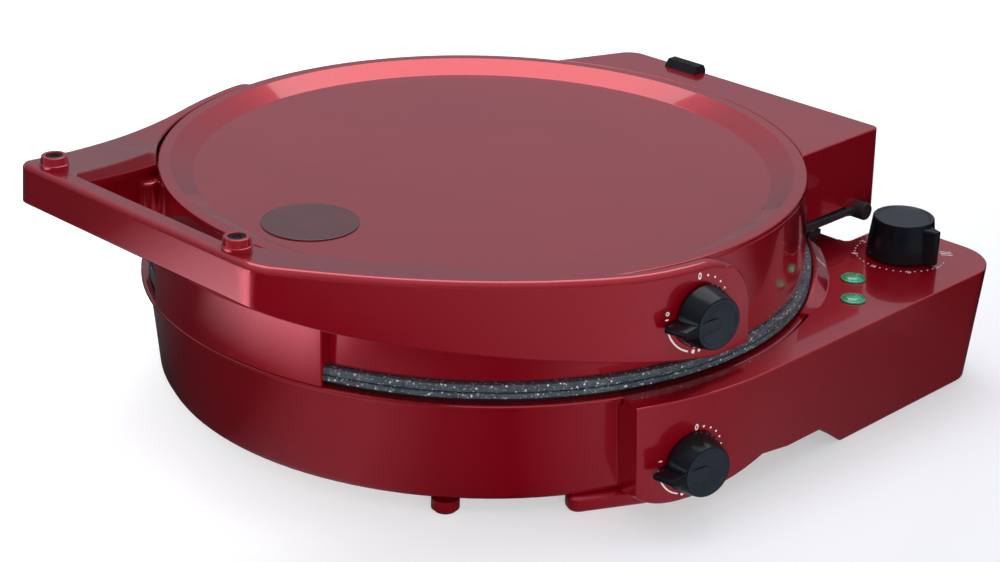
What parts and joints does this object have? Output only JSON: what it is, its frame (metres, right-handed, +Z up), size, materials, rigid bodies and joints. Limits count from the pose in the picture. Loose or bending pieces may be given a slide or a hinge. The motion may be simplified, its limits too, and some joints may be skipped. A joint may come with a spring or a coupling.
{
  "type": "electric pizza maker",
  "caption": "Round countertop pizza maker in glossy red with a hinged lid, a swept handle frame, stone-look plates and a control arm with a timer.",
  "frame": {"origin": "bottom centre of the bounding box of the closed object, on the table", "axes": "+X to the side of the control arm, +Y to the hinge, -Y to the handle, +Z up"},
  "size_m": [0.3854, 0.4366, 0.1567],
  "materials": {
    "glossy_red_shell": "high gloss metallic red lacquer",
    "stone_coating": "speckled stone-look non-stick coating",
    "knob_black": "satin to gloss black plastic",
    "black_plastic": "moulded black plastic",
    "black_rubber": "matt rubber",
    "green_lens": "clear green lens",
    "badge_metal": "plain enamelled plate",
    "element_steel": "sheathed element tube",
    "zinc_steel": "zinc-plated sheet steel",
    "pin_steel": "ground steel",
    "reflector_aluminium": "thin bright sheet",
    "white_ceramic": "unglazed ceramic"
  },
  "bodies": {
    "base": {"base_shell": "glossy_red_shell", "base_cover": "zinc_steel", "base_screws": "zinc_steel", "arm_cover": "black_plastic", "lower_plate": "stone_coating", "lower_element": "element_steel", "lower_element_clamps": "zinc_steel", "lower_reflector": "reflector_aluminium", "lower_plate_bolts": "zinc_steel", "thermal_fuse": "pin_steel", "lower_thermostat": "black_plastic", "timer": "zinc_steel", "lamp_lens_front": "green_lens", "lamp_lens_rear": "green_lens", "lamp_holders": "black_plastic", "terminal_block": "white_ceramic", "cord_inlet_bush": "black_rubber", "hinge_bracket_right": "black_plastic", "hinge_bracket_left": "black_plastic", "hinge_pins": "pin_steel", "round_feet": "glossy_red_shell", "foot_pads": "black_rubber", "panel_foot": "glossy_red_shell"},
    "lid": {"lid_shell": "glossy_red_shell", "front_skirt": "glossy_red_shell", "handle_cover": "glossy_red_shell", "lid_foot_collars": "glossy_red_shell", "badge_plate": "badge_metal", "lid_foot_rubbers": "black_rubber", "upper_plate": "stone_coating", "upper_element": "element_steel", "upper_element_clamps": "zinc_steel", "upper_reflector": "reflector_aluminium", "upper_plate_bolts": "zinc_steel", "upper_thermostat": "black_plastic", "hinge_arm_right": "black_plastic", "hinge_arm_left": "black_plastic", "hinge_box_cover": "black_plastic", "cable_clamp": "black_rubber"},
    "upper_knob_body": {"upper_knob": "knob_black", "upper_knob_shaft": "pin_steel"},
    "lower_knob_body": {"lower_knob": "knob_black", "lower_knob_shaft": "pin_steel"},
    "timer_knob_body": {"timer_knob": "knob_black", "timer_shaft": "pin_steel"}
  },
  "joints": [
    {"name": "lid_hinge", "type": "hinge", "parent": "base", "child": "lid", "pos_m": [-0.01275, 0.19243, 0.07835], "axis": [-1, 0, 0], "range_deg": [0, 180]},
    {"name": "upper_knob_turn", "type": "hinge", "parent": "lid", "child": "upper_knob_body", "pos_m": [0.16407, -0.01716, 0.0975], "axis": [0.9863, -0.165, 0], "range_deg": [-35, 235]},
    {"name": "lower_knob_turn", "type": "hinge", "parent": "base", "child": "lower_knob_body", "pos_m": [0.1776, -0.03379, 0.0307], "axis": [0.9718, -0.236, 0], "range_deg": [-35, 235]},
    {"name": "timer_knob_turn", "type": "hinge", "parent": "base", "child": "timer_knob_body", "pos_m": [0.14025, 0.18143, 0.066], "axis": [0, 0, -1], "range_deg": [0, 300]}
  ]
}
